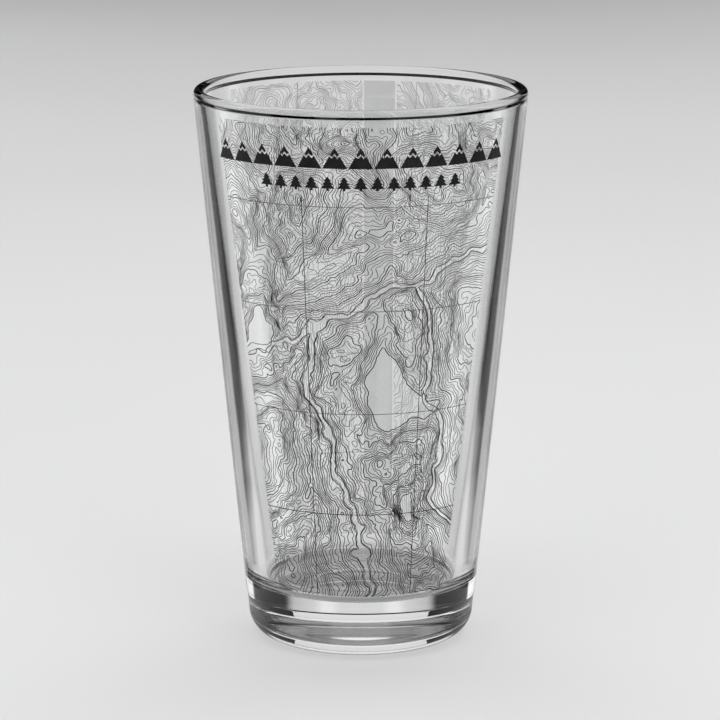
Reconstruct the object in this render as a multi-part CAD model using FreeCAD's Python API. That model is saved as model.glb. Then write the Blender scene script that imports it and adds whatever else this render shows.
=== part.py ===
"""A 16 US fl oz pint glass with a printed contour-map decoration, in millimetres.

The origin is the centre of the ring that the glass stands on, and +Z goes up through the mouth.
The front of the decoration faces -Y. The glass is one solid of revolution. The decoration is the
contour ink and a faint grey band on the glass, and the grid and title ink on top of them.
"""

import FreeCAD
import Part

import math
import os

from FreeCAD import Vector

# Glass
HEIGHT = 149.2  # 5 7/8 in, table to rim
RIM_RADIUS = 44.45  # 3 1/2 in across the lip
BASE_RADIUS = 30.0  # where the wall's line would meet the table
LIP_RADIUS = 1.55  # the fire-polished lip is a full round
BEAD = 0.5  # how far the lip stands out of the inside wall
BEAD_FILLET = 1.2  # the hollow round under the bead
HEEL_RADIUS = 7.0
FLOOR_Z = 15.0  # inside floor at its rim
FLOOR_DISH = 0.5  # how far the middle of the inside floor lies lower
FLOOR_DISH_RADIUS = 20.0
CAVITY_RADIUS = 25.8  # where the inside wall's line would meet the floor
CAVITY_FILLET = 5.0
MOULD_STEP_Z = 12.7  # the mould's parting ring, where the base block starts
MOULD_STEP = 0.25
MOULD_STEP_RISE = 0.5
STAND_INNER_RADIUS = 20.0  # inner edge of the ring that touches the table
PUSH_UP = 1.2  # height of the hollow under the base

# Decoration: each layer is a thin shell on the wall's cone
LAYER = 0.05
RING_SECTORS = 36
LOW_INK, TOP_INK = 0, 1  # layers, counted outwards from the glass
PANEL_BOTTOM_Z = 18.3
PANEL_TOP_Z = 144.8
PANEL_BOTTOM_SHARE = 0.683  # half-width of a panel seen square on, as a share of the wall's radius
PANEL_TOP_SHARE = 0.834
BAND = (1.0, 9.7)  # the grey band down the middle of the back panel, as its two X places
BAND_MARGIN = 0.5  # clear glass between the band and the map

GRID_LINE = 0.2
GRID_HEIGHTS = (41.2, 68.8, 96.5, 124.1)
GRID_FIRST_AZIMUTH = -66.0  # degrees from the front, anticlockwise seen from above
GRID_STEP = 45.0
GRID_FRONT_TOP_Z = 127.0  # the front meridians stop under the title

PEAK_COUNT, PEAK_SPAN, PEAK_Z = 13, 106.0, 134.2
PINE_COUNT, PINE_SPAN, PINE_Z = 13, 68.4, 128.4
# Half outlines of the title's figures, as (half width, height), from the foot to the tip
PEAK_BODY = [(0, 0), (3.2, 0), (1.4, 3.2), (0.7, 2.6), (0, 3.4)]
PEAK_CAP = [(0, 3.9), (0.7, 3.15), (1.15, 3.65), (0, 5.4)]
PINE_TRUNK = [(0, 0), (0.35, 0), (0.35, 0.6)]
PINE_BOUGHS = [(1.9, 0.6), (0.95, 1.6), (1.5, 1.6), (0.6, 2.5), (1.05, 2.5), (0, 3.7)]


LIP_R, LIP_Z = RIM_RADIUS - LIP_RADIUS, HEIGHT - LIP_RADIUS  # centre of the lip's round


def lean(foot_r, foot_z, reach):
    """The outward lean of a wall from its foot, which passes the lip's centre at that reach outwards."""
    across, up = LIP_R - foot_r, LIP_Z - foot_z
    return math.atan2(across, up) + math.asin(reach / math.hypot(across, up))


OUTER_LEAN = lean(BASE_RADIUS, 0, LIP_RADIUS)
INNER_LEAN = lean(CAVITY_RADIUS, FLOOR_Z, BEAD - LIP_RADIUS)


def outer_radius(z):
    return BASE_RADIUS + z * math.tan(OUTER_LEAN)


def inner_radius(z):
    return CAVITY_RADIUS + (z - FLOOR_Z) * math.tan(INNER_LEAN)


def point(r, z):
    return Vector(r, 0, z)


def line(start, end):
    return Part.LineSegment(start, end).toShape()


def arc(start, middle, end):
    return Part.Arc(start, middle, end).toShape()


def dish_arc(radius, edge_z, middle_z):
    """A shallow arc from the axis out to radius, level at the axis, so it turns into a sphere's cap."""
    rise = middle_z - edge_z
    sphere = (radius * radius + rise * rise) / (2 * rise)
    turn = math.asin(radius / sphere) / 2
    half_way = point(sphere * math.sin(turn), middle_z - sphere * (1 - math.cos(turn)))
    return arc(point(0, middle_z), half_way, point(radius, edge_z))


def around(centre, radius, angle):
    """A place on a round, at an angle that counts from outwards and grows upwards."""
    return centre + Vector(radius * math.cos(angle), 0, radius * math.sin(angle))


def round_arc(centre, radius, start, end):
    return arc(*(around(centre, radius, angle) for angle in (start, (start + end) / 2, end)))


def lip_edges():
    """The small round under the bead and the lip's round, from the inside wall's end to the outside wall."""
    lip = point(LIP_R, LIP_Z)
    inward = math.pi - INNER_LEAN
    turn = math.acos((LIP_RADIUS - BEAD + BEAD_FILLET) / (LIP_RADIUS + BEAD_FILLET))
    under = around(lip, LIP_RADIUS + BEAD_FILLET, inward + turn)
    wall_end = around(under, BEAD_FILLET, inward - math.pi)
    edges = [
        round_arc(under, BEAD_FILLET, inward - math.pi, inward - math.pi + turn),
        round_arc(lip, LIP_RADIUS, inward + turn, math.pi / 2),
        round_arc(lip, LIP_RADIUS, math.pi / 2, -OUTER_LEAN),
    ]
    return wall_end, edges


def rounded_corner(before, at, after, radius):
    """The start, middle and end of the arc that rounds off a corner."""
    one, two = (before - at).normalize(), (after - at).normalize()
    half = one.getAngle(two) / 2
    reach = radius / math.tan(half)
    middle = at + (one + two).normalize() * (radius / math.sin(half) - radius)
    return at + one * reach, middle, at + two * reach


def revolved(edges, start=0.0, turn=360.0):
    """A solid from a closed outline in the XZ plane, turned about Z from start, in degrees."""
    wire = Part.Wire(Part.sortEdges(edges)[0])
    wire.rotate(Vector(0, 0, 0), Vector(0, 0, 1), start)
    solid = Part.Face(wire).revolve(Vector(0, 0, 0), Vector(0, 0, 1), turn)
    if solid.Volume < 0:
        solid.reverse()
    return solid


def glass_body():
    """The vessel: dished floor, rounded corner, beaded lip, mould ring, heel and push-up base."""
    floor_edge = point(FLOOR_DISH_RADIUS, FLOOR_Z)
    wall_end, lip = lip_edges()
    corner = rounded_corner(floor_edge, point(CAVITY_RADIUS, FLOOR_Z), wall_end, CAVITY_FILLET)
    step_top = point(outer_radius(MOULD_STEP_Z), MOULD_STEP_Z)
    step_foot_z = MOULD_STEP_Z - MOULD_STEP_RISE
    step_foot = point(outer_radius(step_foot_z) - MOULD_STEP, step_foot_z)
    stand = point(STAND_INNER_RADIUS, 0)
    heel = rounded_corner(step_foot, point(BASE_RADIUS - MOULD_STEP, 0), stand, HEEL_RADIUS)
    edges = [
        dish_arc(FLOOR_DISH_RADIUS, FLOOR_Z, FLOOR_Z - FLOOR_DISH),
        line(floor_edge, corner[0]),
        arc(*corner),
        line(corner[2], wall_end),
        *lip,
        line(around(point(LIP_R, LIP_Z), LIP_RADIUS, -OUTER_LEAN), step_top),
        line(step_top, step_foot),
        line(step_foot, heel[0]),
        arc(*heel),
        line(heel[2], stand),
        dish_arc(STAND_INNER_RADIUS, 0, PUSH_UP),
        line(point(0, PUSH_UP), point(0, FLOOR_Z - FLOOR_DISH)),
    ]
    return revolved(edges)


def shell_edges(layer, low_z, high_z):
    """The outline of a cut through one decoration layer, a thin strip along the outside wall."""
    out = Vector(math.cos(OUTER_LEAN), 0, -math.sin(OUTER_LEAN))
    near, far = out * (layer * LAYER), out * ((layer + 1) * LAYER)
    low, high = point(outer_radius(low_z), low_z), point(outer_radius(high_z), high_z)
    return Part.makePolygon([low + near, low + far, high + far, high + near, low + near]).Edges


def panel_half_width(z):
    """Half of a panel's width seen square on, at height z."""
    low = PANEL_BOTTOM_SHARE * outer_radius(PANEL_BOTTOM_Z)
    high = PANEL_TOP_SHARE * outer_radius(PANEL_TOP_Z)
    return low + (high - low) * (z - PANEL_BOTTOM_Z) / (PANEL_TOP_Z - PANEL_BOTTOM_Z)


def panel_prism(front, left=None, right=None):
    """The space that holds a panel: straight sides seen square on, in front of or behind the axis."""
    low, high = PANEL_BOTTOM_Z - 1, PANEL_TOP_Z + 1
    low_half, high_half = panel_half_width(low), panel_half_width(high)
    corners = [
        Vector(-low_half if left is None else left, 0, low),
        Vector(low_half if right is None else right, 0, low),
        Vector(high_half if right is None else right, 0, high),
        Vector(-high_half if left is None else left, 0, high),
    ]
    depth = -2 * RIM_RADIUS if front else 2 * RIM_RADIUS
    return Part.Face(Part.makePolygon(corners + corners[:1])).extrude(Vector(0, depth, 0))


def sectored_ring(edges):
    """A whole ring in sectors, so that each of its curved faces is small."""
    turn = 360 / RING_SECTORS
    sectors = [revolved(edges, i * turn, turn) for i in range(RING_SECTORS)]
    return sectors[0].multiFuse(sectors[1:])


def printed(spaces):
    """The lower ink layer, as far as it lies in each of the spaces."""
    ring = sectored_ring(shell_edges(LOW_INK, PANEL_BOTTOM_Z, PANEL_TOP_Z))
    return Part.makeCompound([ring.common(space).Solids[0] for space in spaces])


def contours(front):
    """A panel's contour ink. The back one is in two pieces, with the band between them."""
    if front:
        return printed([panel_prism(True)])
    left = panel_prism(False, right=BAND[0] - BAND_MARGIN)
    right = panel_prism(False, left=BAND[1] + BAND_MARGIN)
    return printed([left, right])


def panel_half_angle(z):
    """Half of the angle that a panel covers at height z, in degrees."""
    return math.degrees(math.asin(panel_half_width(z) / outer_radius(z)))


def turned_from_front(degrees):
    """The rotation about Z that carries the XZ plane's +X side to an azimuth from the front."""
    return degrees - 90.0


def grid(front):
    """One panel's grid: parallels at set heights and meridians at set azimuths."""
    middle = 0.0 if front else 180.0
    top = GRID_FRONT_TOP_Z if front else PANEL_TOP_Z
    narrowest = panel_half_angle(PANEL_BOTTOM_Z)
    strips = []
    for z in GRID_HEIGHTS:
        reach = panel_half_angle(z)
        edges = shell_edges(TOP_INK, z - GRID_LINE / 2, z + GRID_LINE / 2)
        strips.append(revolved(edges, turned_from_front(middle - reach), 2 * reach))
    azimuth = GRID_FIRST_AZIMUTH
    while azimuth < GRID_FIRST_AZIMUTH + 360:
        off = (azimuth - middle + 180) % 360 - 180
        if abs(off) < narrowest:
            width = math.degrees(GRID_LINE / outer_radius((PANEL_BOTTOM_Z + top) / 2))
            edges = shell_edges(TOP_INK, PANEL_BOTTOM_Z, top)
            strips.append(revolved(edges, turned_from_front(azimuth - width / 2), width))
        azimuth += GRID_STEP
    whole = strips[0].multiFuse(strips[1:])
    if not front:
        low, high = BAND[0] - BAND_MARGIN, BAND[1] + BAND_MARGIN
        gap = Part.makeBox(high - low, 2 * RIM_RADIUS, HEIGHT, Vector(low, 0, 0))
        whole = whole.cut(gap)
    return Part.makeCompound(whole.Solids)


def mirrored(half_outline):
    """A closed outline from its right half, listed from the foot to the tip."""
    left = [(-s, h) for s, h in reversed(half_outline) if s]
    return half_outline + left


def title_row(outlines, count, span, foot_z):
    """A row of one figure, repeated round the front. Each outline is cut out of the top ink layer."""
    height = max(h for outline in outlines for _, h in outline)
    ring = revolved(shell_edges(TOP_INK, foot_z - 0.5, foot_z + height + 0.5))
    figures = []
    for i in range(count):
        azimuth = turned_from_front(span * (i / (count - 1) - 0.5))
        for outline in outlines:
            corners = [Vector(RIM_RADIUS / 2, s, foot_z + h) for s, h in mirrored(outline)]
            prism = Part.Face(Part.makePolygon(corners + corners[:1])).extrude(Vector(RIM_RADIUS, 0, 0))
            prism.rotate(Vector(0, 0, 0), Vector(0, 0, 1), azimuth)
            figures += ring.common(prism).Solids
    return Part.makeCompound(figures)


def brim_capacity_ml():
    """What the cavity holds when it is full to the rim, the small rounds apart."""
    height = HEIGHT - FLOOR_Z
    low, high = CAVITY_RADIUS, inner_radius(HEIGHT)
    return math.pi * height * (low * low + low * high + high * high) / 3000


def main():
    os.makedirs("parts", exist_ok=True)
    parts = {
        "glass_body": glass_body(),
        "band_back": printed([panel_prism(False, left=BAND[0], right=BAND[1])]),
        "contours_front": contours(True),
        "contours_back": contours(False),
        "grid_front": grid(True),
        "grid_back": grid(False),
        "title_peaks": title_row([PEAK_BODY, PEAK_CAP], PEAK_COUNT, PEAK_SPAN, PEAK_Z),
        "title_pines": title_row([PINE_TRUNK + PINE_BOUGHS], PINE_COUNT, PINE_SPAN, PINE_Z),
    }
    for name, shape in parts.items():
        shape.exportStep(f"parts/{name}.step")
        print(f"{name}: {len(shape.Solids)} solids, valid {shape.isValid()}, {shape.Volume:.3f} mm3")
    print(f"brim capacity {brim_capacity_ml():.0f} ml")


main()
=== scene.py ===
"""Looks of the pint glass: the vessel, its printed map panels and title rows, the light and the camera."""

import math

import bmesh
import bpy
import numpy as np
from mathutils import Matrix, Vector, noise


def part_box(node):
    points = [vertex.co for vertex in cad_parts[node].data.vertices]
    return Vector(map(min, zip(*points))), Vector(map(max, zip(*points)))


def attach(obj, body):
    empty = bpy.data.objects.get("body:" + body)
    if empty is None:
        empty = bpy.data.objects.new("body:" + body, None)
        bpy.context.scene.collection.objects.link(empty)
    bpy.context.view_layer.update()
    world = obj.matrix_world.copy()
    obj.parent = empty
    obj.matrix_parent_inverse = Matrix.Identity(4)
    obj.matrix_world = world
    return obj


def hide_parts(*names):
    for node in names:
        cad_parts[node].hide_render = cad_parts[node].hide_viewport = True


MM = 0.001
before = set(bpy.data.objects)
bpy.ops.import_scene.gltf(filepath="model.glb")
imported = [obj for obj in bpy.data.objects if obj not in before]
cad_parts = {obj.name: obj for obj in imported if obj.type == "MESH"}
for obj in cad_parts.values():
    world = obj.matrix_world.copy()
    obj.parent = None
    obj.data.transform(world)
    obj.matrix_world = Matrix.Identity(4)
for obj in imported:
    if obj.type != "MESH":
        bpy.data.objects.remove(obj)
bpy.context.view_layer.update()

# The vessel, in millimetres. Its height comes from the frame.
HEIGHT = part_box("glass_body")[1].z / MM
RIM_RADIUS = 44.45
BASE_RADIUS = 30.0  # where the wall's line would meet the table
LIP_RADIUS = 1.55
BEAD, BEAD_FILLET = 0.5, 1.2  # how far the lip stands out of the inside wall, and the round under it
HEEL_RADIUS = 7.0
FLOOR_Z, FLOOR_DISH, FLOOR_DISH_RADIUS = 15.0, 0.5, 20.0
CAVITY_RADIUS, CAVITY_FILLET = 25.8, 5.0
MOULD_STEP_Z, MOULD_STEP, MOULD_STEP_RISE = 12.7, 0.25, 0.5
STAND_INNER_RADIUS, PUSH_UP = 20.0, 1.2
TURNS = 360  # columns of faces round the vessel
WALL_STEP = 2.5  # longest face along the wall
RIPPLE = 0.03  # how far the pressed inside wall strays from a true cone
RIPPLE_ROUND, RIPPLE_LENGTH = 1.6, 16  # waves round the wall, and millimetres up it to a wave
RIPPLE_FADE_FOOT, RIPPLE_FADE_TOP, RIPPLE_STOP = 8, 12, 2  # fades at both ends, and a stop under the lip

# The decoration's two panels, and the grey band that divides the back one
PANEL_BOTTOM_Z, PANEL_TOP_Z = 18.3, 144.8
PANEL_BOTTOM_SHARE, PANEL_TOP_SHARE = 0.683, 0.834  # half-width seen square on, in wall radii
BAND, BAND_MARGIN = (1.0, 9.7), 0.5
BAND_FACE = (0.6, 4)  # largest faces of the band, across and up
PRINT_UNDER, PRINT_OVER = 0.006, 0.05  # a print's underside and crest, above the glass

# Contours
CELL = 0.4  # grid that the contours are traced on
CHORD_GAP = 0.12  # how far a printed line may stray from its contour, in cells
CONTOUR_GAP = 0.62  # mean distance between contours
CONTOUR_LINE, INDEX_LINE, SHORE_LINE = 0.18, 0.27, 0.22
INDEX_EVERY = 5
RIVER_HALF_WIDTH = 0.8
WATER_LEVEL, LOWEST_CONTOUR = 0.4, 0.45
SHORTEST_CHAIN = 5  # contours with no more crossings than this are left out

# Map grid
GRID_LINE = 0.2
GRID_HEIGHTS = (41.2, 68.8, 96.5, 124.1)
GRID_FIRST_AZIMUTH, GRID_STEP = -66.0, 45.0
GRID_FRONT_TOP_Z = 127.0
MERIDIAN_STEPS = 60

# Title rows
PEAK_COUNT, PEAK_SPAN, PEAK_Z = 13, 106.0, 134.2
PINE_COUNT, PINE_SPAN, PINE_Z = 13, 68.4, 128.4
PEAK_BODY = [(0, 0), (3.2, 0), (1.4, 3.2), (0.7, 2.6), (0, 3.4)]
PEAK_CAP = [(0, 3.9), (0.7, 3.15), (1.15, 3.65), (0, 5.4)]
PINE_TRUNK = [(0, 0), (0.35, 0), (0.35, 0.6)]
PINE_BOUGHS = [(1.9, 0.6), (0.95, 1.6), (1.5, 1.6), (0.6, 2.5), (1.05, 2.5), (0, 3.7)]
FIGURE_SLICE = 0.9  # widest flat strip of a figure that bends round the wall

# Studio, in metres and watts
COVE_RINGS, COVE_BEND, COVE_WALL = (0, 0.5, 1.5, 3.0), 1.5, 3.0
CARD_Z, CARD_RINGS = -0.0005, (0, 0.03, 0.062)
CARD_FADE = (0.036, 0.06)  # distances from the middle between which the card grows pale
SHEET_Z, SHEET_REACH = 0.1465, (0.5, 4)
SHEET_FIRST, SHEET_STEP, SHEET_STEPS = 64, 2, 26  # degrees from +X towards +Y
OVERHEAD_Z, OVERHEAD_SIZE, OVERHEAD_POWER = 1.4, (1.6, 1.2), 48
FILL_PLACES, FILL_Z = ((-1, -1.3), (1, -1.3), (-1, 1.3), (1, 1.3)), 0.7
FILL_AIM, FILL_SIZE, FILL_POWER = (0, 0, 0.08), (1, 1), 16
MOST_BOUNCES, GLASS_BOUNCES, CLEAR_BOUNCES = 28, 24, 40

# Camera
CAMERA_DISTANCE, CAMERA_HEIGHT = 0.905, 0.2755
CAMERA_LENS, CAMERA_SENSOR, CAMERA_NEAR = 172.3, 36, 0.05
CAMERA_AIM = Vector((-0.0002, 0, 0.0752))


# ---------------------------------------------------------------- the vessel's outline

LIP_R, LIP_Z = RIM_RADIUS - LIP_RADIUS, HEIGHT - LIP_RADIUS


def lean(foot_r, foot_z, reach):
    """The outward lean of a wall from its foot, which passes the lip's centre at that reach outwards."""
    across, up = LIP_R - foot_r, LIP_Z - foot_z
    return math.atan2(across, up) + math.asin(reach / math.hypot(across, up))


OUTER_LEAN = lean(BASE_RADIUS, 0, LIP_RADIUS)
INNER_LEAN = lean(CAVITY_RADIUS, FLOOR_Z, BEAD - LIP_RADIUS)


def outer_radius(z):
    return BASE_RADIUS + z * math.tan(OUTER_LEAN)


def dish(radius, edge_z, middle_z, steps):
    """A shallow round dish from the axis out to radius."""
    rise = middle_z - edge_z
    sphere = (radius * radius + rise * rise) / (2 * rise)
    turn = math.asin(radius / sphere)
    angles = [turn * i / steps for i in range(steps + 1)]
    return [(sphere * math.sin(a), middle_z - sphere * (1 - math.cos(a))) for a in angles]


def rounded_corner(before, at, after, radius, steps):
    """Points of the arc that rounds off a corner of the outline."""
    before, at, after = Vector(before), Vector(at), Vector(after)
    one, two = (before - at).normalized(), (after - at).normalized()
    half = one.angle(two) / 2
    centre = at + (one + two).normalized() * (radius / math.sin(half))
    start = at + one * (radius / math.tan(half)) - centre
    end = at + two * (radius / math.tan(half)) - centre
    turn = start.angle_signed(end)
    points = []
    for i in range(steps + 1):
        a = -turn * i / steps
        x = start.x * math.cos(a) - start.y * math.sin(a)
        y = start.x * math.sin(a) + start.y * math.cos(a)
        points.append((centre.x + x, centre.y + y))
    return points


def round_points(centre, radius, start, end, steps):
    """Points along an arc. Angles count from outwards, and grow upwards."""
    angles = [start + (end - start) * i / steps for i in range(steps + 1)]
    return [(centre[0] + radius * math.cos(a), centre[1] + radius * math.sin(a)) for a in angles]


def lip_points():
    """The inside wall's end, the small round under the bead, and the lip's round."""
    inward = math.pi - INNER_LEAN
    turn = math.acos((LIP_RADIUS - BEAD + BEAD_FILLET) / (LIP_RADIUS + BEAD_FILLET))
    middle = round_points((LIP_R, LIP_Z), LIP_RADIUS + BEAD_FILLET, inward + turn, 0, 1)[0]
    under = round_points(middle, BEAD_FILLET, inward - math.pi, inward - math.pi + turn, 8)
    return under[:-1] + round_points((LIP_R, LIP_Z), LIP_RADIUS, inward + turn, -OUTER_LEAN, 36)


def vessel_outline():
    """(r, z) places from the middle of the inside floor, over the lip, to the middle underneath."""
    lip = lip_points()
    floor = dish(FLOOR_DISH_RADIUS, FLOOR_Z, FLOOR_Z - FLOOR_DISH, 10)
    corner = rounded_corner(floor[-1], (CAVITY_RADIUS, FLOOR_Z), lip[0], CAVITY_FILLET, 14)
    step_top = (outer_radius(MOULD_STEP_Z), MOULD_STEP_Z)
    foot_z = MOULD_STEP_Z - MOULD_STEP_RISE
    step_foot = (outer_radius(foot_z) - MOULD_STEP, foot_z)
    stand = (STAND_INNER_RADIUS, 0)
    heel = rounded_corner(step_foot, (BASE_RADIUS - MOULD_STEP, 0), stand, HEEL_RADIUS, 16)
    under = dish(STAND_INNER_RADIUS, 0, PUSH_UP, 12)[::-1]
    corners = floor + corner + lip + [step_top, step_foot] + heel + under
    outline = [corners[0]]
    for (r0, z0), (r1, z1) in zip(corners, corners[1:]):
        length = math.hypot(r1 - r0, z1 - z0)
        if length < 1e-6:
            continue
        steps = math.ceil(length / WALL_STEP)
        outline += [(r0 + (r1 - r0) * i / steps, z0 + (z1 - z0) * i / steps) for i in range(1, steps + 1)]
    return outline


def new_object(name, vertices, faces, smooth_angle=None):
    mesh = bpy.data.meshes.new(name)
    mesh.from_pydata(vertices, [], faces)
    mesh.update()
    if smooth_angle is not None:
        mesh.shade_smooth()
        mesh.set_sharp_from_angle(angle=math.radians(smooth_angle))
    obj = bpy.data.objects.new(name, mesh)
    bpy.context.scene.collection.objects.link(obj)
    return obj


def ripple(angle, z):
    """The small waves that pressing leaves in the inside wall, in millimetres."""
    place = Vector((math.cos(angle) * RIPPLE_ROUND, math.sin(angle) * RIPPLE_ROUND, z / RIPPLE_LENGTH))
    return RIPPLE * noise.noise(place)


def ripple_share(z):
    """How much of the ripple shows at a height of the inside wall, from 0 to 1."""
    above_foot = z - FLOOR_Z - CAVITY_FILLET
    return max(0, min(1, (LIP_Z - z) / RIPPLE_FADE_TOP, above_foot / RIPPLE_FADE_FOOT))


def build_vessel():
    outline = vessel_outline()
    inside_top = next(i for i, (r, z) in enumerate(outline) if z > LIP_Z - RIPPLE_STOP)
    vertices = [(0, 0, outline[0][1] * MM)]
    for k, (r, z) in enumerate(outline[1:-1], 1):
        fade = ripple_share(z) if k < inside_top else 0
        for i in range(TURNS):
            a = 2 * math.pi * i / TURNS
            here = (r + fade * ripple(a, z)) * MM
            vertices.append((here * math.cos(a), here * math.sin(a), z * MM))
    vertices.append((0, 0, outline[-1][1] * MM))
    rings = len(outline) - 2
    last = len(vertices) - 1
    faces = []
    for i in range(TURNS):
        j = (i + 1) % TURNS
        faces.append((0, 1 + i, 1 + j))
        for k in range(rings - 1):
            a, b = 1 + k * TURNS, 1 + (k + 1) * TURNS
            faces.append((a + i, b + i, b + j, a + j))
        end = 1 + (rings - 1) * TURNS
        faces.append((end + i, last, end + j))
    return new_object("glass_vessel", vertices, faces, smooth_angle=20)


# ---------------------------------------------------------------- places on the wall


def on_wall(azimuth, z, height):
    """A place in metres, at a height above the outside wall. azimuth is in radians from the front."""
    r = outer_radius(z) + height * math.cos(OUTER_LEAN)
    level = z - height * math.sin(OUTER_LEAN)
    return (r * math.sin(azimuth) * MM, -r * math.cos(azimuth) * MM, level * MM)


def panel_half_width(z):
    low = PANEL_BOTTOM_SHARE * outer_radius(PANEL_BOTTOM_Z)
    high = PANEL_TOP_SHARE * outer_radius(PANEL_TOP_Z)
    return low + (high - low) * (z - PANEL_BOTTOM_Z) / (PANEL_TOP_Z - PANEL_BOTTOM_Z)


def side_azimuth(x, z, front):
    """The azimuth on the wall of a place x to the right of the axis, on the front or on the back."""
    angle = math.asin(x / outer_radius(z))
    return angle if front else math.pi - angle


class Field:
    """A stretch of a panel between two sides. u runs from left to right and v from foot to top, 0 to 1."""

    def __init__(self, front, left=None, right=None):
        self.front, self.left, self.right = front, left, right
        self.low, self.high = PANEL_BOTTOM_Z, PANEL_TOP_Z

    def sides(self, z):
        half = panel_half_width(z)
        left = -half if self.left is None else self.left
        right = half if self.right is None else self.right
        return side_azimuth(left, z, self.front), side_azimuth(right, z, self.front)

    def place(self, u, v):
        """(azimuth, z) of a place in the field."""
        z = self.low + (self.high - self.low) * v
        start, end = self.sides(z)
        return start + (end - start) * u, z

    def size(self):
        """Widest arc and height, in millimetres."""
        start, end = self.sides(self.high)
        return abs(end - start) * outer_radius(self.high), self.high - self.low


FIELDS = {
    "front": [Field(True)],
    "back": [Field(False, right=BAND[0] - BAND_MARGIN), Field(False, left=BAND[1] + BAND_MARGIN)],
}


# ---------------------------------------------------------------- the grey band


def build_band():
    """A thin closed sheet down the back, between the two halves of the map."""
    field = Field(False, left=BAND[0], right=BAND[1])
    width, height = field.size()
    columns, rows = math.ceil(width / BAND_FACE[0]), math.ceil(height / BAND_FACE[1])
    vertices, faces = [], []
    for over in (PRINT_UNDER, PRINT_OVER):
        for j in range(rows + 1):
            for i in range(columns + 1):
                azimuth, z = field.place(i / columns, j / rows)
                vertices.append(on_wall(azimuth, z, over))

    def corner(i, j, top):
        return (top * (rows + 1) + j) * (columns + 1) + i

    for j in range(rows):
        for i in range(columns):
            quad = [(i, j), (i + 1, j), (i + 1, j + 1), (i, j + 1)]
            faces.append([corner(a, b, 1) for a, b in quad])
            faces.append([corner(a, b, 0) for a, b in reversed(quad)])
    rim = [(i, 0) for i in range(columns)] + [(columns, j) for j in range(rows)]
    rim += [(i, rows) for i in range(columns, 0, -1)] + [(0, j) for j in range(rows, 0, -1)]
    for (a, b), (c, d) in zip(rim, rim[1:] + rim[:1]):
        faces.append([corner(c, d, 1), corner(a, b, 1), corner(a, b, 0), corner(c, d, 0)])
    band = new_object("band_back_film", vertices, faces)
    face_outwards(band)
    band.data.shade_smooth()
    band.data.set_sharp_from_angle(angle=math.radians(40))
    return band


def face_outwards(obj):
    mesh = bmesh.new()
    mesh.from_mesh(obj.data)
    bmesh.ops.recalc_face_normals(mesh, faces=mesh.faces)
    mesh.to_mesh(obj.data)
    mesh.free()


# ---------------------------------------------------------------- ink lines


class InkLines:
    """Gathers printed lines. Each is a crowned bead of ink that follows the wall."""

    def __init__(self):
        self.vertices, self.faces = [], []

    def add(self, line, width, closed=False):
        """line is a list of (azimuth, z)."""
        count = len(line)
        if count < 2:
            return
        base = len(self.vertices)
        for k, (azimuth, z) in enumerate(line):
            before = line[(k - 1) % count] if closed else line[max(k - 1, 0)]
            after = line[(k + 1) % count] if closed else line[min(k + 1, count - 1)]
            radius = outer_radius(z)
            across = (after[0] - before[0]) * radius
            up = (after[1] - before[1]) / math.cos(OUTER_LEAN)
            length = math.hypot(across, up) or 1
            turn = -up / length * width / 2 / radius
            rise = across / length * width / 2 * math.cos(OUTER_LEAN)
            self.vertices.append(on_wall(azimuth - turn, z - rise, PRINT_UNDER))
            self.vertices.append(on_wall(azimuth + turn, z + rise, PRINT_UNDER))
            self.vertices.append(on_wall(azimuth, z, PRINT_OVER))
        steps = count if closed else count - 1
        for k in range(steps):
            a, b = base + 3 * k, base + 3 * ((k + 1) % count)
            for m in range(3):
                n = (m + 1) % 3
                self.faces.append((a + m, b + m, b + n, a + n))
        if not closed:
            self.faces.append((base, base + 1, base + 2))
            end = base + 3 * (count - 1)
            self.faces.append((end + 2, end + 1, end))

    def build(self, name):
        obj = new_object(name, self.vertices, self.faces)
        face_outwards(obj)
        return obj


# ---------------------------------------------------------------- terrain


def smooth_step(low, high, value):
    t = np.clip((value - low) / (high - low), 0, 1)
    return t * t * (3 - 2 * t)


def distance_to_line(s, t, line):
    """Distance of the places (s, t) to a chain of straight runs."""
    nearest = np.full(s.shape, np.inf)
    for (x0, y0), (x1, y1) in zip(line, line[1:]):
        dx, dy = x1 - x0, y1 - y0
        along = np.clip(((s - x0) * dx + (t - y0) * dy) / (dx * dx + dy * dy), 0, 1)
        nearest = np.minimum(nearest, np.hypot(s - x0 - along * dx, t - y0 - along * dy))
    return nearest


# Rivers and lakes, as (arc from the panel's middle, height above the table), in millimetres
RIVERS = {
    "front": [
        [(-50, 74), (-34, 83), (-22, 85), (-13, 92), (-3, 95), (6, 101), (15, 102)]
        + [(24, 109), (36, 111), (50, 118)],
        [(-13, 92), (-13, 78), (-8, 66), (-6, 52), (1, 40), (-1, 28), (4, 10)],
        [(15, 102), (19, 90), (17, 76), (23, 62), (22, 48), (29, 34)],
    ],
    "back": [
        [(-50, 120), (-36, 112), (-27, 98), (-22, 80), (-28, 62), (-20, 44), (-23, 26), (-18, 10)],
        [(50, 96), (36, 92), (27, 82), (18, 80), (14, 66), (20, 50), (16, 32), (20, 10)],
    ],
}
LAKES = {"front": [(-29, 88, 4.5, 6.5), (13, 44, 2, 3.6)], "back": [(-35, 74, 2.4, 5), (33, 118, 4.4, 2.6)]}
RIDGES = {"front": 46, "back": 44}
TERRAIN_SEED = {"front": 11, "back": 29}
# Ranges of a ridge's place, length and crest height, and of the crest's fall along its length
RIDGE_S, RIDGE_T = (-52, 52), (5, 158)
RIDGE_LENGTH, RIDGE_CREST, RIDGE_FALL = (5, 20), (13, 22), (-0.35, 0.35)
RIDGE_DATUM, RIDGE_SHARPNESS = 10, 1.1
SLOPE_UP, BANK_FOOT, BANK_SHARPNESS = 0.85, 1.2, 0.8  # how ground rises from a river
LAKE_SLOPE = 1.1  # how steeply ground rises from a lake
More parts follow.
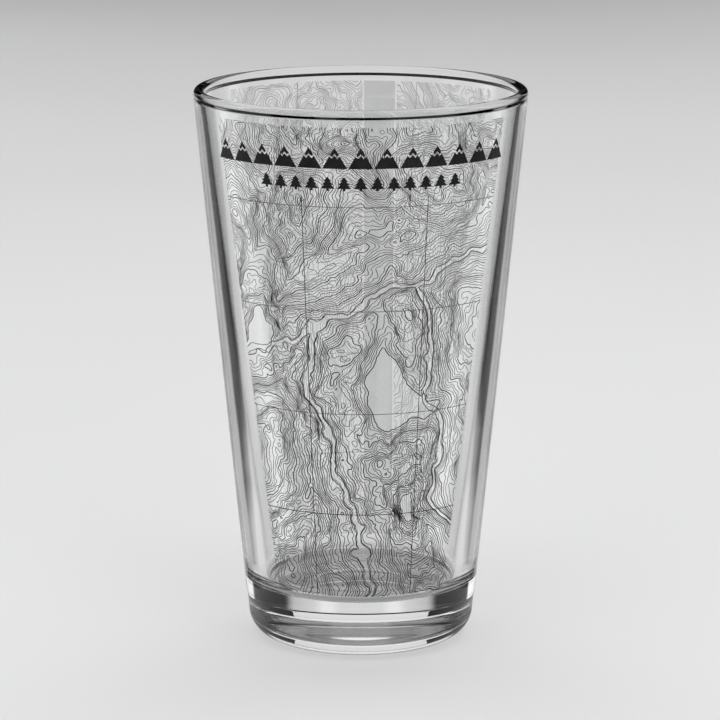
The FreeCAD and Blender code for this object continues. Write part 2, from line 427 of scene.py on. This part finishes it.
# Noise, as (height, size of its features in millimetres)
WIDE_BEND, FINE_BEND = (4.0, 17), (1.1, 5)
RAVINE, GULLY = (2.2, 8), (0.7, 3.4)
ROUGH_LEAST, ROUGH = 0.3, (0.9, 24)
ROUGH_FROM, ROUGH_TO = -0.15, 0.35  # noise between which smooth ground turns rough
RAVINE_FULL = 3  # height from which ravines are at their deepest
FRACTAL = (0.9, 2.1, 3)  # how soon finer features fade, the step in their size, and how many there are


def lake_shape(s, t, lake):
    """Below 1 on the lake and above 1 off it."""
    x, y, half_width, half_height = lake
    angle = np.arctan2(t - y, s - x)
    shore = 1 + 0.16 * np.sin(3 * angle + x) + 0.09 * np.sin(5 * angle + y)
    return np.hypot((s - x) / half_width, (t - y) / half_height) / shore


def noise_grid(s, t, size, seed):
    """Smooth noise from about -1 to 1 at each place, with features of that size in millimetres."""
    places = zip(s.ravel(), t.ravel())
    values = [noise.fractal(Vector((x / size, y / size, seed)), *FRACTAL) for x, y in places]
    return np.array(values).reshape(s.shape)


def ridge_height(s, t, chance):
    """How high one ridge stands over each place: a crest of random place, way, length and height."""
    x, y = chance.uniform(*RIDGE_S), chance.uniform(*RIDGE_T)
    way, length = chance.uniform(0, math.pi), chance.uniform(*RIDGE_LENGTH)
    crest, fall = chance.uniform(*RIDGE_CREST), chance.uniform(*RIDGE_FALL)
    dx, dy = math.cos(way), math.sin(way)
    along = np.clip((s - x) * dx + (t - y) * dy, 0, length)
    return crest + fall * along - np.hypot(s - x - along * dx, t - y - along * dy)


def bend(s, t, seed):
    """How far smooth noise moves each place one way, so that no ridge or river is straight."""
    wide, fine = noise_grid(s, t, WIDE_BEND[1], seed), noise_grid(s, t, FINE_BEND[1], seed + 2)
    return WIDE_BEND[0] * wide + FINE_BEND[0] * fine


def ridges(side, s, t):
    """Ground height of the ridges alone. The highest ridge over a place counts, with soft passes between."""
    chance = np.random.default_rng(TERRAIN_SEED[side])
    total = np.zeros(s.shape)
    for _ in range(RIDGES[side]):
        total += np.exp(RIDGE_SHARPNESS * (ridge_height(s, t, chance) - RIDGE_DATUM))
    return RIDGE_DATUM + np.log(total) / RIDGE_SHARPNESS


def ravines(s, t, seed):
    """Small ups and downs, strong in rough country and weak in smooth."""
    wide, fine = noise_grid(s, t, RAVINE[1], seed + 9), noise_grid(s, t, GULLY[1], seed + 11)
    rough = smooth_step(ROUGH_FROM, ROUGH_TO, noise_grid(s, t, ROUGH[1], seed + 13))
    return (ROUGH_LEAST + ROUGH[0] * rough) * (RAVINE[0] * np.abs(wide) + GULLY[0] * np.abs(fine))


def terrain(side, s, t):
    """Ground height, which falls by about 1 in each millimetre of slope, and the distance to a river."""
    seed = TERRAIN_SEED[side]
    s2, t2 = s + bend(s, t, seed), t + bend(s, t, seed + 5)
    river_gap = np.full(s.shape, np.inf)
    for river in RIVERS[side]:
        river_gap = np.minimum(river_gap, distance_to_line(s2, t2, river))
    banks = SLOPE_UP * (river_gap - RIVER_HALF_WIDTH) + BANK_FOOT
    ridge_share, bank_share = np.exp(-BANK_SHARPNESS * ridges(side, s2, t2)), np.exp(-BANK_SHARPNESS * banks)
    ground = -np.log(ridge_share + bank_share) / BANK_SHARPNESS
    for lake in LAKES[side]:
        shore = LAKE_SLOPE * min(lake[2:]) * (lake_shape(s2, t2, lake) - 1)
        ground = np.minimum(ground, np.maximum(shore, 0) + WATER_LEVEL)
    ground += ravines(s, t, seed) * smooth_step(WATER_LEVEL, RAVINE_FULL, ground)
    return np.maximum(ground, WATER_LEVEL), river_gap


# ---------------------------------------------------------------- contours

# Which sides of a grid cell a contour joins, by which of the cell's corners are above the level
CELL_JOINS = {
    1: [(3, 0)], 2: [(0, 1)], 3: [(3, 1)], 4: [(1, 2)], 5: [(3, 2), (0, 1)], 6: [(0, 2)], 7: [(3, 2)],
    8: [(2, 3)], 9: [(2, 0)], 10: [(0, 3), (1, 2)], 11: [(2, 1)], 12: [(1, 3)], 13: [(1, 0)], 14: [(0, 3)],
}

# The two corners of each side of a cell, as steps in row and column from the cell's first corner
CELL_SIDES = (((0, 0), (0, 1)), ((0, 1), (1, 1)), ((1, 0), (1, 1)), ((0, 0), (1, 0)))


def chained(joined, places):
    """Joined crossings strung together, as (list of (column, row) places, whether it is closed)."""
    chains, used = [], set()
    ends = [k for k, near in joined.items() if len(near) == 1]
    for start in ends + list(joined):
        if start in used:
            continue
        chain, here = [], start
        while here is not None:
            used.add(here)
            chain.append(places[here])
            here = next((k for k in joined[here] if k not in used), None)
        chains.append((chain, len(joined[start]) == 2))
    return chains


def trace(ground, level):
    """The contours of a grid at one level, in the form that chained gives."""
    above = (ground > level).astype(int)
    case = above[:-1, :-1] + 2 * above[:-1, 1:] + 4 * above[1:, 1:] + 8 * above[1:, :-1]
    joined, places = {}, {}

    def crossing(j, i, side):
        (up0, along0), (up1, along1) = CELL_SIDES[side]
        j0, i0, j1, i1 = key = (j + up0, i + along0, j + up1, i + along1)
        if key not in places:
            a, b = ground[j0, i0], ground[j1, i1]
            share = (level - a) / (b - a)
            places[key] = (i0 + (i1 - i0) * share, j0 + (j1 - j0) * share)
        return key

    for j, i in zip(*np.nonzero((case > 0) & (case < 15))):
        for one, two in CELL_JOINS[case[j, i]]:
            a, b = crossing(j, i, one), crossing(j, i, two)
            joined.setdefault(a, []).append(b)
            joined.setdefault(b, []).append(a)
    return chained(joined, places)


def simplified(chain, tolerance):
    """The chain without the places that lie within tolerance of the straight runs between the others."""
    places = np.array(chain)
    kept, spans = {0, len(chain) - 1}, [(0, len(chain) - 1)]
    while spans:
        first, last = spans.pop()
        if last - first < 2:
            continue
        run = places[last] - places[first]
        off = places[first + 1:last] - places[first]
        along = np.clip(off @ run / max(run @ run, 1e-12), 0, 1)
        gap = np.hypot(*(off - along[:, None] * run).T)
        if gap.max() > tolerance:
            middle = first + 1 + int(gap.argmax())
            kept.add(middle)
            spans += [(first, middle), (middle, last)]
    return [chain[k] for k in sorted(kept)]


def field_grid(field, middle):
    """Arcs from the azimuth of a panel's middle, and heights, of the grid that a field is traced on."""
    width, height = field.size()
    columns, rows = math.ceil(width / CELL), math.ceil(height / CELL)
    azimuth = np.empty((rows + 1, columns + 1))
    z = np.empty_like(azimuth)
    for j in range(rows + 1):
        start, row_z = field.place(0, j / rows)
        end = field.place(1, j / rows)[0]
        azimuth[j] = np.linspace(start, end, columns + 1)
        z[j] = row_z
    return (azimuth - middle) * outer_radius(z), z


def print_contours(lines, field, grid, level, width):
    """Adds a field's contours at one level to the ink lines."""
    rows, columns = grid.shape[0] - 1, grid.shape[1] - 1
    for chain, closed in trace(grid, level):
        if len(chain) > SHORTEST_CHAIN:
            line = [field.place(u / columns, v / rows) for u, v in simplified(chain, CHORD_GAP)]
            lines.add(line, width, closed)


def build_contours(side):
    lines = InkLines()
    middle = 0 if side == "front" else math.pi
    for field in FIELDS[side]:
        ground, river_gap = terrain(side, *field_grid(field, middle))
        for number in range(math.ceil(ground.max() / CONTOUR_GAP)):
            width = CONTOUR_LINE if number % INDEX_EVERY else INDEX_LINE
            print_contours(lines, field, ground, LOWEST_CONTOUR + number * CONTOUR_GAP, width)
        print_contours(lines, field, river_gap, RIVER_HALF_WIDTH, SHORE_LINE)
    return lines.build("contours_" + side + "_ink")


# ---------------------------------------------------------------- map grid


def parallel_runs(side, z):
    """The stretches of the grid line at a height, as lists of (azimuth, z)."""
    runs = []
    for field in FIELDS[side]:
        start, end = field.sides(z)
        steps = math.ceil(abs(end - start) / math.radians(1))
        runs.append([(start + (end - start) * i / steps, z) for i in range(steps + 1)])
    return runs


def meridian_runs(side, azimuth):
    """The stretches of the grid line at an azimuth, as lists of (azimuth, z)."""
    runs = []
    for field in FIELDS[side]:
        low, high = field.low, GRID_FRONT_TOP_Z if side == "front" else field.high
        heights = [low + (high - low) * i / MERIDIAN_STEPS for i in range(MERIDIAN_STEPS + 1)]
        runs.append([(azimuth, z) for z in heights if min(field.sides(z)) < azimuth < max(field.sides(z))])
    return runs


def build_grid(side):
    runs = [run for z in GRID_HEIGHTS for run in parallel_runs(side, z)]
    for k in range(round(360 / GRID_STEP)):
        runs += meridian_runs(side, math.radians(GRID_FIRST_AZIMUTH + k * GRID_STEP))
    lines = InkLines()
    for run in runs:
        lines.add(run, GRID_LINE)
    return lines.build("grid_" + side + "_ink")


# ---------------------------------------------------------------- title rows


def mirrored(half_outline):
    left = [(-s, h) for s, h in reversed(half_outline) if s]
    return half_outline + left


def flat_figure(outlines):
    """A flat mesh of a figure in (s, h) millimetres, sliced so that it can bend round the wall."""
    mesh = bmesh.new()
    for outline in outlines:
        mesh.faces.new([mesh.verts.new((s, h, 0)) for s, h in mirrored(outline)])
    reach = max(v.co.x for v in mesh.verts)
    cuts = math.ceil(2 * reach / FIGURE_SLICE)
    for i in range(1, cuts):
        place = Vector((reach * (2 * i / cuts - 1), 0, 0))
        everything = mesh.verts[:] + mesh.edges[:] + mesh.faces[:]
        bmesh.ops.bisect_plane(mesh, geom=everything, plane_co=place, plane_no=(1, 0, 0))
    bmesh.ops.triangulate(mesh, faces=mesh.faces[:])
    return mesh


def build_title_row(name, outlines, count, span, foot_z):
    """One figure, repeated round the front as a raised print."""
    flat = flat_figure(outlines)
    places = [tuple(v.co.xy) for v in flat.verts]
    flat.verts.index_update()
    triangles = [[v.index for v in f.verts] for f in flat.faces]
    rim = [[v.index for v in e.verts] for e in flat.edges if len(e.link_faces) == 1]
    flat.free()
    vertices, faces = [], []
    layer = len(places)
    for k in range(count):
        middle = math.radians(span * (k / (count - 1) - 0.5))
        base = len(vertices)
        for over in (PRINT_UNDER, PRINT_OVER):
            for s, h in places:
                z = foot_z + h
                vertices.append(on_wall(middle + s / outer_radius(z), z, over))
        for a, b, c in triangles:
            faces.append((base + a, base + b, base + c))
            faces.append((base + layer + c, base + layer + b, base + layer + a))
        for a, b in rim:
            faces.append((base + a, base + b, base + layer + b, base + layer + a))
    row = new_object(name, vertices, faces)
    face_outwards(row)
    return row


# ---------------------------------------------------------------- materials


def material(name):
    """A new material, with its nodes, its links and its Principled shader."""
    made = bpy.data.materials.new(name)
    made.use_nodes = True
    tree = made.node_tree
    return made, tree.nodes, tree.links, tree.nodes["Principled BSDF"]


def noise_node(nodes, scale, detail, roughness=0.5):
    """Noise in the object's own space, at scale features per metre."""
    place = nodes.new("ShaderNodeTexCoord")
    grain = nodes.new("ShaderNodeTexNoise")
    grain.inputs["Scale"].default_value = scale
    grain.inputs["Detail"].default_value = detail
    grain.inputs["Roughness"].default_value = roughness
    nodes.id_data.links.new(place.outputs["Object"], grain.inputs["Vector"])
    return grain.outputs["Fac"]


def bump(nodes, links, shader, height, distance, strength):
    node = nodes.new("ShaderNodeBump")
    node.inputs["Distance"].default_value = distance
    node.inputs["Strength"].default_value = strength
    links.new(height, node.inputs["Height"])
    links.new(node.outputs["Normal"], shader.inputs["Normal"])


def spread(nodes, links, value, low, high):
    """value's middle range, stretched to run from low to high."""
    node = nodes.new("ShaderNodeMapRange")
    node.inputs["From Min"].default_value = 0.3
    node.inputs["From Max"].default_value = 0.7
    node.inputs["To Min"].default_value = low
    node.inputs["To Max"].default_value = high
    links.new(value, node.inputs["Value"])
    return node.outputs["Result"]


def mixed(nodes, links, factor, one, two):
    """A colour between two others. Each is a grey, a (red, green, blue) or the output of a node."""
    node = nodes.new("ShaderNodeMix")
    node.data_type = "RGBA"
    links.new(factor, node.inputs["Factor"])
    for socket, colour in (("A", one), ("B", two)):
        if isinstance(colour, bpy.types.NodeSocket):
            links.new(colour, node.inputs[socket])
        else:
            levels = colour if isinstance(colour, tuple) else (colour, colour, colour)
            node.inputs[socket].default_value = (*levels, 1)
    return node.outputs["Result"]


def clear_glass():
    made, nodes, links, shader = material("clear_glass")
    shader.inputs["Base Color"].default_value = (0.985, 0.992, 0.988, 1)
    shader.inputs["Roughness"].default_value = 0.0
    shader.inputs["IOR"].default_value = 1.52
    shader.inputs["Transmission Weight"].default_value = 1.0
    bump(nodes, links, shader, noise_node(nodes, 90, 1), 0.0002, 0.05)
    return made


def grey_tint():
    """A faint grey print that light goes through. Its two faces tint twice."""
    made, nodes, links, shader = material("grey_tint")
    shader.inputs["Alpha"].default_value = 0.21
    shader.inputs["IOR"].default_value = 1.45
    grain = spread(nodes, links, noise_node(nodes, 260, 3), 0, 1)
    shade = mixed(nodes, links, grain, (0.15, 0.15, 0.152), (0.22, 0.22, 0.222))
    links.new(shade, shader.inputs["Base Color"])
    links.new(spread(nodes, links, noise_node(nodes, 900, 2), 0.4, 0.6), shader.inputs["Roughness"])
    return made


def underside(nodes, links):
    """1 on the faces of a print that lie on the glass, and 0 on its crest."""
    place = nodes.new("ShaderNodeTexCoord")
    outward = nodes.new("ShaderNodeVectorMath")
    outward.operation = "DOT_PRODUCT"
    links.new(place.outputs["Normal"], outward.inputs[0])
    links.new(place.outputs["Object"], outward.inputs[1])
    inward = nodes.new("ShaderNodeMath")
    inward.operation = "LESS_THAN"
    inward.inputs[1].default_value = 0
    links.new(outward.outputs["Value"], inward.inputs[0])
    return inward.outputs[0]


def black_enamel(name, dark, pale):
    """Black print on a pale first pass, which is what shows through the glass from behind."""
    made, nodes, links, shader = material(name)
    shader.inputs["IOR"].default_value = 1.48
    shader.inputs["Specular IOR Level"].default_value = 0.2
    crest = mixed(nodes, links, spread(nodes, links, noise_node(nodes, 420, 4), 0, 1), dark, pale)
    base = mixed(nodes, links, spread(nodes, links, noise_node(nodes, 420, 4), 0, 1), 0.3, 0.36)
    links.new(mixed(nodes, links, underside(nodes, links), crest, base), shader.inputs["Base Color"])
    grain = noise_node(nodes, 2600, 3, 0.6)
    links.new(spread(nodes, links, grain, 0.3, 0.5), shader.inputs["Roughness"])
    bump(nodes, links, shader, grain, 0.00002, 0.4)
    return made


# ---------------------------------------------------------------- studio


def lathe_sheet(name, outline, turns):
    """An open sheet of revolution from (r, z) places in metres."""
    vertices = [(0, 0, outline[0][1])]
    for r, z in outline[1:]:
        for i in range(turns):
            a = 2 * math.pi * i / turns
            vertices.append((r * math.cos(a), r * math.sin(a), z))
    faces = [(0, 1 + i, 1 + (i + 1) % turns) for i in range(turns)]
    for k in range(len(outline) - 2):
        a, b = 1 + k * turns, 1 + (k + 1) * turns
        faces += [(a + i, b + i, b + (i + 1) % turns, a + (i + 1) % turns) for i in range(turns)]
    return new_object(name, vertices, faces, smooth_angle=60)


def build_cove():
    """A pale floor that curves up into a wall. Only the camera sees it, so the glass shows its lights."""
    flat = COVE_RINGS[-1]
    angles = np.linspace(0, math.pi / 2, 24)
    turn = [(flat + COVE_BEND * math.sin(a), COVE_BEND * (1 - math.cos(a))) for a in angles]
    outline = [(r, 0) for r in COVE_RINGS[:-1]] + turn + [(flat + COVE_BEND, COVE_BEND + COVE_WALL)]
    cove = lathe_sheet("cove", outline, 96)
    made, nodes, links, shader = material("pale_floor")
    shader.inputs["Roughness"].default_value = 0.7
    shade = mixed(nodes, links, noise_node(nodes, 3, 2), (0.27, 0.27, 0.273), (0.295, 0.295, 0.298))
    links.new(shade, shader.inputs["Base Color"])
    cove.data.materials.append(made)
    cove.visible_transmission = False
    cove.visible_glossy = False
    cove.visible_diffuse = False
    cove.visible_shadow = False


# Light round the horizon, as (degrees from +X towards +Y, brightness): cards, dark gaps and bright strips
HORIZON = [
    (0, 0.02), (12, 0.02), (14, 1.2), (27, 1.2), (31, 0.01), (60, 0.01), (64, 0.5), (74, 0.66), (77, 0.84),
    (80, 0.84), (83, 0.7), (97, 0.7), (100, 0.84), (103, 0.84), (106, 0.66), (116, 0.5), (120, 0.01),
    (149, 0.01), (152, 1.4), (166, 1.4), (169, 0.66), (203, 0.66), (207, 0.01), (238, 0.01),
    (242, 0.8), (252, 0.8), (256, 0.01), (286, 0.01), (292, 0.66), (338, 0.66), (343, 0.02), (360, 0.02),
]
# Light from well above, round the horizon in the same way: some behind the glass, none on the camera's side
CROWN = [(0, 0), (38, 0), (44, 0.9), (136, 0.9), (142, 0), (360, 0)]
# Light from straight down to straight up, as (sine of elevation, brightness, shares of HORIZON and CROWN)
HEIGHTS = [
    (-1, 0.68, 0, 0), (-0.38, 0.68, 0, 0), (-0.34, 0.68, 1, 0), (-0.005, 0, 1, 0), (0.005, 0, 0, 0),
    (0.28, 0, 0, 0), (0.3, 0, 0, 1), (0.84, 0, 0, 1), (0.88, 0.3, 0, 0), (1, 0.3, 0, 0),
]


def ramp(nodes, stops):
    """A colour ramp of greys. stops are (place from 0 to 1, grey), at most 32 of them."""
    node = nodes.new("ShaderNodeValToRGB")
    elements = node.color_ramp.elements
    while len(elements) > 1:
        elements.remove(elements[-1])
    for k, (place, grey) in enumerate(stops):
        element = elements[0] if k == 0 else elements.new(place)
        element.position = place
        element.color = (grey, grey, grey, 1)
    return node


def hide_from_all_but_glass(obj, reflected):
    """Only what the glass shows sees the object, and its mirror images too if reflected is set."""
    obj.visible_camera = False
    obj.visible_diffuse = False
    obj.visible_shadow = False
    obj.visible_glossy = reflected


def glowing(obj, colour, made, links, shader):
    links.new(colour, shader.inputs["Emission Color"])
    shader.inputs["Base Color"].default_value = (0, 0, 0, 1)
    shader.inputs["Emission Strength"].default_value = 1
    obj.data.materials.append(made)


def build_card():
    """A grey card under the glass that glows, though it lights nothing, and that only the glass shows: a
    painted view of a darker table through its base. It grows pale at its edge.
    """
    card = lathe_sheet("glowing_table_view", [(r, CARD_Z) for r in CARD_RINGS], 64)
    made, nodes, links, shader = material("glowing_table_view")
    place = nodes.new("ShaderNodeTexCoord")
    distance = nodes.new("ShaderNodeVectorMath")
    distance.operation = "LENGTH"
    links.new(place.outputs["Object"], distance.inputs[0])
    fade = nodes.new("ShaderNodeMapRange")
    fade.inputs["From Min"].default_value, fade.inputs["From Max"].default_value = CARD_FADE
    links.new(distance.outputs["Value"], fade.inputs["Value"])
    grain = mixed(nodes, links, noise_node(nodes, 60, 3), 0.2, 0.3)
    # painted view: the card glows with its own grey, darker in the middle and pale at its edge
    glowing(card, mixed(nodes, links, fade.outputs["Result"], grain, 0.62), made, links, shader)
    hide_from_all_but_glass(card, True)


def build_sheet():
    """A level light sheet just under the rim's height, behind the glass, which shows in the base."""
    vertices, faces = [], []
    for i in range(SHEET_STEPS + 1):
        azimuth = math.radians(SHEET_FIRST + SHEET_STEP * i)
        for reach in SHEET_REACH:
            vertices.append((reach * math.cos(azimuth), reach * math.sin(azimuth), SHEET_Z))
    for i in range(SHEET_STEPS):
        faces.append((2 * i, 2 * i + 1, 2 * i + 3, 2 * i + 2))
    sheet = new_object("back_sheet", vertices, faces)
    made, nodes, links, shader = material("back_sheet")
    glowing(sheet, mixed(nodes, links, noise_node(nodes, 3, 2), 0.62, 0.68), made, links, shader)
    hide_from_all_but_glass(sheet, False)


def stacked(nodes, links, height, column):
    """One of the columns of HEIGHTS, as a grey that follows the height."""
    node = ramp(nodes, [((row[0] + 1) / 2, row[column]) for row in HEIGHTS])
    links.new(height, node.inputs["Fac"])
    return node.outputs["Color"]


def bearing(nodes, links, split):
    """The way round the horizon from +X towards +Y, from 0 to 1."""
    angle = nodes.new("ShaderNodeMath")
    angle.operation = "ARCTAN2"
    links.new(split.outputs["Y"], angle.inputs[0])
    links.new(split.outputs["X"], angle.inputs[1])
    turns = nodes.new("ShaderNodeMath")
    turns.operation = "MULTIPLY"
    turns.inputs[1].default_value = 1 / (2 * math.pi)
    links.new(angle.outputs[0], turns.inputs[0])
    wrap = nodes.new("ShaderNodeMath")
    wrap.operation = "FRACT"
    links.new(turns.outputs[0], wrap.inputs[0])
    return wrap.outputs[0]


def build_world():
    world = bpy.data.worlds.new("studio")
    bpy.context.scene.world = world
    world.use_nodes = True
    nodes, links = world.node_tree.nodes, world.node_tree.links
    direction = nodes.new("ShaderNodeTexCoord").outputs["Generated"]
    split = nodes.new("ShaderNodeSeparateXYZ")
    links.new(direction, split.inputs[0])
    around = bearing(nodes, links, split)
    height = nodes.new("ShaderNodeMapRange")
    height.inputs["From Min"].default_value = -1
    links.new(split.outputs["Z"], height.inputs["Value"])
    colour = stacked(nodes, links, height.outputs["Result"], 1)
    for column, stops in ((2, HORIZON), (3, CROWN)):
        pattern = ramp(nodes, [(degrees / 360, grey) for degrees, grey in stops])
        links.new(around, pattern.inputs["Fac"])
        share = stacked(nodes, links, height.outputs["Result"], column)
        colour = mixed(nodes, links, share, colour, pattern.outputs["Color"])
    links.new(colour, nodes["Background"].inputs["Color"])


def add_light(name, place, aim, size, power):
    light = bpy.data.lights.new(name, "AREA")
    light.shape = "RECTANGLE"
    light.size, light.size_y = size
    light.energy = power
    obj = bpy.data.objects.new(name, light)
    obj.location = place
    obj.rotation_euler = (Vector(aim) - Vector(place)).to_track_quat("-Z", "Y").to_euler()
    bpy.context.scene.collection.objects.link(obj)
    return obj


def build_lights():
    """Soft lights overhead and all round, for the print and the floor. The glass mirrors the world."""
    lights = [add_light("overhead", (0, 0, OVERHEAD_Z), (0, 0, 0), OVERHEAD_SIZE, OVERHEAD_POWER)]
    for k, (x, y) in enumerate(FILL_PLACES):
        lights.append(add_light(f"fill_{k}", (x, y, FILL_Z), FILL_AIM, FILL_SIZE, FILL_POWER))
    for light in lights:
        light.visible_transmission = False
        light.visible_glossy = False
        light.visible_camera = False


def build_camera():
    camera = bpy.data.cameras.new("camera")
    camera.lens = CAMERA_LENS
    camera.sensor_width = CAMERA_SENSOR
    camera.clip_start = CAMERA_NEAR
    obj = bpy.data.objects.new("camera", camera)
    obj.location = (CAMERA_AIM.x, -CAMERA_DISTANCE, CAMERA_HEIGHT)
    obj.rotation_euler = (CAMERA_AIM - obj.location).to_track_quat("-Z", "Y").to_euler()
    bpy.context.scene.collection.objects.link(obj)
    bpy.context.scene.camera = obj


def finish_piece(piece, node, made):
    piece.data.materials.append(made)
    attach(piece, "root")
    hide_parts(node)


def build_glass():
    vessel = build_vessel()
    vessel.visible_shadow = False  # light reaches the print through the glass
    finish_piece(vessel, "glass_body", clear_glass())
    finish_piece(build_band(), "band_back", grey_tint())
    fine, bold = black_enamel("line_enamel", 0.008, 0.02), black_enamel("title_enamel", 0.005, 0.012)
    for side in ("front", "back"):
        finish_piece(build_contours(side), "contours_" + side, fine)
        finish_piece(build_grid(side), "grid_" + side, fine)
    peaks = build_title_row("peaks_ink", [PEAK_BODY, PEAK_CAP], PEAK_COUNT, PEAK_SPAN, PEAK_Z)
    pines = build_title_row("pines_ink", [PINE_TRUNK + PINE_BOUGHS], PINE_COUNT, PINE_SPAN, PINE_Z)
    finish_piece(peaks, "title_peaks", bold)
    finish_piece(pines, "title_pines", bold)


def set_look():
    scene = bpy.context.scene
    scene.view_settings.view_transform = "Standard"
    scene.cycles.max_bounces = MOST_BOUNCES
    scene.cycles.transmission_bounces = GLASS_BOUNCES
    scene.cycles.glossy_bounces = GLASS_BOUNCES
    scene.cycles.transparent_max_bounces = CLEAR_BOUNCES


build_glass()
build_cove()
build_card()
build_sheet()
build_world()
build_lights()
build_camera()
set_look()
